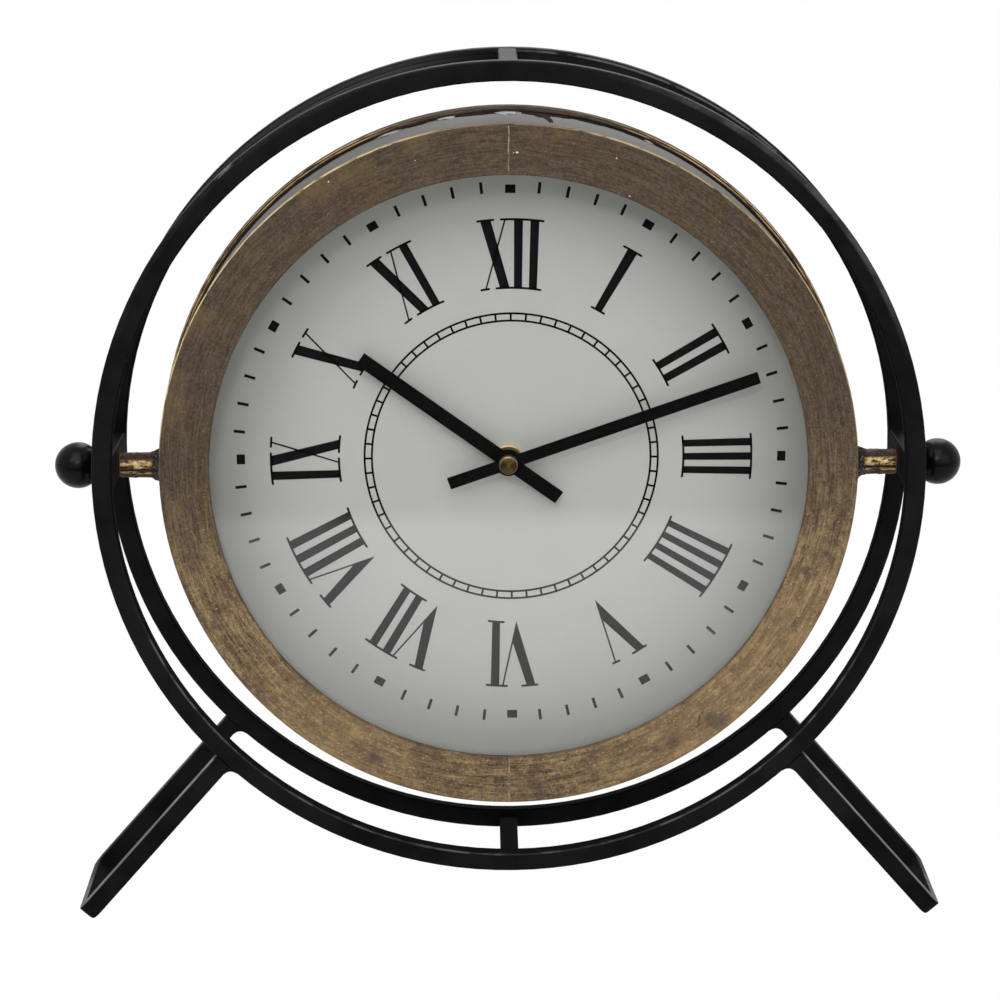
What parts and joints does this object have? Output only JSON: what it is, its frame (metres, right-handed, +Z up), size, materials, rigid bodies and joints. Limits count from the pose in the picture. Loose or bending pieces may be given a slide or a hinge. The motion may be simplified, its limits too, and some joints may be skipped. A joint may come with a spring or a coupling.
{
  "type": "table clock",
  "caption": "Round table clock: a bronze drum case with glazed dial that tilts on two pivots between twin black iron hoops on bent bar legs, with a hand-set quartz movement.",
  "frame": {"origin": "on the floor, midway between the feet and under the centre of the two hoops", "axes": "+X to the right as seen from the front, +Y to the back, away from the dial, +Z up"},
  "size_m": [0.3448, 0.0524, 0.3306],
  "materials": {
    "black_iron": "satin black paint on iron bar",
    "black_knob": "semi-gloss black paint",
    "plated_steel": "zinc-plated steel",
    "case_sheet": "greyish bronze wash on sheet steel",
    "aged_bronze": "antique bronze with gold rubbed through",
    "bronze_stub": "rough weathered bronze",
    "fibre": "dark red fibre",
    "clear_glass": "clear flat glass",
    "black_rubber": "matte",
    "pale_board": "pale card strip",
    "dial_paint": "matte off-white with black print",
    "dark_cover": "matte dark brown paint",
    "movement_plastic": "moulded black",
    "board": "green board",
    "copper_wire": "enamelled copper",
    "battery_sleeve": "printed-free sleeve",
    "brass_parts": "turned brass",
    "black_hands": "matte black paint",
    "wheel_plastic": "natural acetal",
    "knob_plastic": "moulded black, ribbed",
    "magnet": "sintered magnet"
  },
  "bodies": {
    "stand": {"front_hoop": "black_iron", "back_hoop": "black_iron", "top_post": "black_iron", "bottom_post": "black_iron", "left_leg": "black_iron", "right_leg": "black_iron", "left_lug": "black_iron", "right_lug": "black_iron"},
    "left_ball": {"left_knob": "black_knob", "left_stud": "plated_steel"},
    "right_ball": {"right_knob": "black_knob", "right_stud": "plated_steel"},
    "minute": {"minute_shaft": "brass_parts", "minute_hand": "black_hands", "cap_nut": "brass_parts"},
    "hour": {"hour_wheel": "wheel_plastic", "hour_hand": "black_hands"},
    "setting": {"setting_wheel": "wheel_plastic", "setting_knob": "knob_plastic"},
    "battery": {"battery": "battery_sleeve"},
    "center_wheel": {"center_wheel": "brass_parts"},
    "third_wheel": {"third_wheel": "wheel_plastic"},
    "seconds_wheel": {"seconds_wheel": "wheel_plastic"},
    "intermediate_wheel": {"intermediate_wheel": "wheel_plastic"},
    "rotor": {"rotor": "magnet"},
    "case": {"case_wall": "case_sheet", "rear_ring": "aged_bronze", "bezel_left": "aged_bronze", "bezel_right": "aged_bronze", "left_stub": "bronze_stub", "right_stub": "bronze_stub", "friction_washers": "fibre", "glass": "clear_glass", "glass_gasket": "black_rubber", "front_spacer": "pale_board", "dial": "dial_paint", "rear_spacer": "case_sheet", "cover_tabs": "case_sheet", "back_cover": "dark_cover", "cover_screws": "plated_steel", "movement_housing": "movement_plastic", "movement_cover": "movement_plastic", "circuit_board": "board", "coil": "copper_wire", "coil_core": "plated_steel", "stator": "plated_steel", "battery_contacts": "plated_steel", "rubber_washer": "black_rubber", "dial_nut": "brass_parts"}
  },
  "joints": [
    {"name": "case_tilt", "type": "hinge", "parent": "stand", "child": "case", "pos_m": [0, 0, 0.17553], "axis": [1, 0, 0], "continuous": true},
    {"name": "left_ball_turn", "type": "hinge", "parent": "case", "child": "left_ball", "pos_m": [-0.163, 0, 0.17553], "axis": [-1, 0, 0], "range_deg": [0, 360]},
    {"name": "right_ball_turn", "type": "hinge", "parent": "case", "child": "right_ball", "pos_m": [0.163, 0, 0.17553], "axis": [1, 0, 0], "range_deg": [0, 360]},
    {"name": "minute_turn", "type": "hinge", "parent": "case", "child": "minute", "pos_m": [0, 0, 0.17553], "axis": [0, 1, 0], "continuous": true},
    {"name": "hour_turn", "type": "hinge", "parent": "case", "child": "hour", "pos_m": [0, 0, 0.17553], "axis": [0, 1, 0], "continuous": true},
    {"name": "setting_turn", "type": "hinge", "parent": "case", "child": "setting", "pos_m": [0.01088, 0.02, 0.1806], "axis": [0, 1, 0], "continuous": true},
    {"name": "battery_slide", "type": "slide", "parent": "case", "child": "battery", "axis": [0, 1, 0], "range_m": [0, 0.03]},
    {"name": "rotor_turn", "type": "hinge", "parent": "case", "child": "rotor", "pos_m": [0.01665, 0.018, 0.16948], "axis": [0, 1, 0], "continuous": true},
    {"name": "intermediate_turn", "type": "hinge", "parent": "case", "child": "intermediate_wheel", "pos_m": [0.00885, 0.018, 0.1681], "axis": [0, 1, 0], "continuous": true},
    {"name": "seconds_turn", "type": "hinge", "parent": "case", "child": "seconds_wheel", "pos_m": [0, 0.018, 0.17553], "axis": [0, 1, 0], "continuous": true},
    {"name": "third_turn", "type": "hinge", "parent": "case", "child": "third_wheel", "pos_m": [-0.01017, 0.018, 0.18027], "axis": [0, 1, 0], "continuous": true},
    {"name": "center_turn", "type": "hinge", "parent": "case", "child": "center_wheel", "pos_m": [0, 0.016, 0.17553], "axis": [0, 1, 0], "continuous": true}
  ],
  "couplings": [
    {"joint": "setting_turn", "follows": "minute_turn", "ratio": -0.33333},
    {"joint": "hour_turn", "follows": "minute_turn", "ratio": 0.083333},
    {"joint": "intermediate_turn", "follows": "rotor_turn", "ratio": -0.2},
    {"joint": "seconds_turn", "follows": "rotor_turn", "ratio": 0.033333},
    {"joint": "third_turn", "follows": "rotor_turn", "ratio": -0.0041667},
    {"joint": "center_turn", "follows": "rotor_turn", "ratio": 0.00055556}
  ]
}
